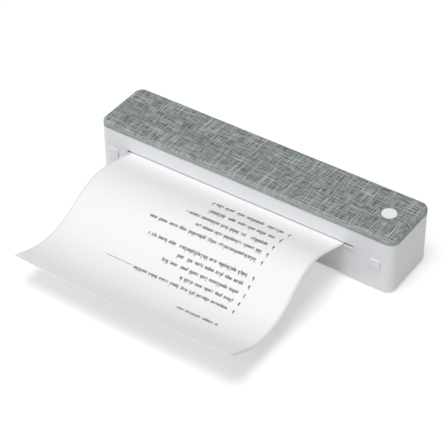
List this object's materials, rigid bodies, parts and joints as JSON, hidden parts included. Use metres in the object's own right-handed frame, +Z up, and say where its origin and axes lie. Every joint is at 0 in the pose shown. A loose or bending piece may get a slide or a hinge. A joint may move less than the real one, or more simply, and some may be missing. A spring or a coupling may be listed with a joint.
{
  "type": "portable a4 thermal printer",
  "caption": "Slim bar-shaped thermal printer with a hinged fabric-topped lid, a power button, side release tabs and a curling sheet of printed paper coming out of its front slot.",
  "frame": {"origin": "on the surface that the printer stands on, under the middle of its body, on the sole of the middle foot", "axes": "+X along the body towards the button end, -Y out of the paper slot at the front, +Z up"},
  "size_m": [0.288, 0.2211, 0.0564],
  "materials": {
    "white_shell": "satin",
    "white_inner": "satin",
    "white_button": "satin",
    "grey_plastic": "satin",
    "dark_plastic": "satin",
    "pale_plastic": "satin",
    "grey_fabric": "woven",
    "foot_rubber": "matte",
    "platen_rubber": "matte",
    "screw_steel": "satin",
    "plate_steel": "satin",
    "bright_steel": "polished",
    "motor_can": "satin",
    "pinion_brass": "satin",
    "cable_film": "satin",
    "cell_sleeve": "gloss",
    "board_green": "satin",
    "chip_black": "matte",
    "white_paper": "matte",
    "grey_card": "matte",
    "sink_aluminium": "satin",
    "head_ceramic": "satin"
  },
  "bodies": {
    "base": {"base_tub": "white_shell", "bottom_cover": "white_shell", "foot_strips": "foot_rubber", "cover_screws": "screw_steel", "exit_guide": "white_inner", "roll_cradle": "white_inner", "side_plate_left": "plate_steel", "side_plate_right": "plate_steel", "platen_bush_left": "dark_plastic", "platen_bush_right": "dark_plastic", "gear_bracket": "plate_steel", "gear_posts": "bright_steel", "idler_axle": "bright_steel", "stepper_motor": "motor_can", "motor_screws": "screw_steel", "motor_cable": "cable_film", "battery_tray": "dark_plastic", "battery_cells": "cell_sleeve", "main_board": "board_green", "board_chips": "chip_black", "usb_socket": "bright_steel", "board_screws": "screw_steel", "paper_sensor": "dark_plastic", "roll_guide_left": "grey_plastic", "roll_guide_right": "grey_plastic", "hinge_pin_left": "bright_steel", "hinge_pin_right": "bright_steel", "paper_sheet": "white_paper", "head_cable_base": "cable_film", "tab_spring_left": "bright_steel", "tab_spring_right": "bright_steel"},
    "platen": {"platen_sleeve": "platen_rubber", "platen_shaft": "bright_steel", "platen_gear": "pale_plastic"},
    "idler": {"idler_gear": "pale_plastic"},
    "pinion": {"motor_pinion": "pinion_brass"},
    "roll": {"paper_roll": "white_paper", "roll_core": "grey_card"},
    "lid": {"lid_frame": "white_shell", "fabric_cover": "grey_fabric", "lid_liner": "white_inner", "liner_screws": "screw_steel", "head_hanger_left": "plate_steel", "head_hanger_right": "plate_steel", "head_pivot_rod": "bright_steel", "head_springs": "bright_steel", "button_board": "board_green", "power_switch": "dark_plastic", "head_cable_lid": "cable_film", "head_connector": "pale_plastic"},
    "head": {"heat_sink": "sink_aluminium", "print_head": "head_ceramic"},
    "button": {"power_button": "white_button"},
    "tab_left": {"release_tab_left": "white_button"},
    "tab_right": {"release_tab_right": "white_button"}
  },
  "joints": [
    {"name": "lid_hinge", "type": "hinge", "parent": "base", "child": "lid", "pos_m": [0, 0.0315, 0.0489], "axis": [-1, 0, 0], "range_deg": [0, 95]},
    {"name": "head_float", "type": "hinge", "parent": "lid", "child": "head", "pos_m": [0, -0.0025, 0.0435], "axis": [-1, 0, 0], "range_deg": [0, 4], "stiffness_Nm_per_rad": 2, "springref_deg": -5.73, "deforming": ["head_springs"]},
    {"name": "button_press", "type": "slide", "parent": "lid", "child": "button", "axis": [0, 0, -1], "range_m": [0, 0.0008], "stiffness_N_per_m": 800, "springref_m": -0.0008},
    {"name": "tab_left_press", "type": "slide", "parent": "base", "child": "tab_left", "axis": [0, 1, 0], "range_m": [0, 0.0012], "stiffness_N_per_m": 1500, "springref_m": -0.0012, "deforming": ["tab_spring_left"]},
    {"name": "tab_right_press", "type": "slide", "parent": "base", "child": "tab_right", "axis": [0, 1, 0], "range_m": [0, 0.0012], "stiffness_N_per_m": 1500, "springref_m": -0.0012, "deforming": ["tab_spring_right"]},
    {"name": "platen_spin", "type": "hinge", "parent": "base", "child": "platen", "pos_m": [0, -0.015, 0.028], "axis": [1, 0, 0], "continuous": true},
    {"name": "idler_spin", "type": "hinge", "parent": "base", "child": "idler", "pos_m": [0.115, -0.00485, 0.02431], "axis": [1, 0, 0], "continuous": true},
    {"name": "pinion_spin", "type": "hinge", "parent": "base", "child": "pinion", "pos_m": [0.118, 0.0077, 0.0254], "axis": [1, 0, 0], "continuous": true},
    {"name": "roll_spin", "type": "hinge", "parent": "base", "child": "roll", "pos_m": [0, 0.01, 0.0238], "axis": [1, 0, 0], "continuous": true}
  ],
  "couplings": [
    {"joint": "idler_spin", "follows": "platen_spin", "ratio": -2},
    {"joint": "pinion_spin", "follows": "platen_spin", "ratio": 6.4},
    {"joint": "roll_spin", "follows": "platen_spin", "ratio": 0.43077}
  ]
}
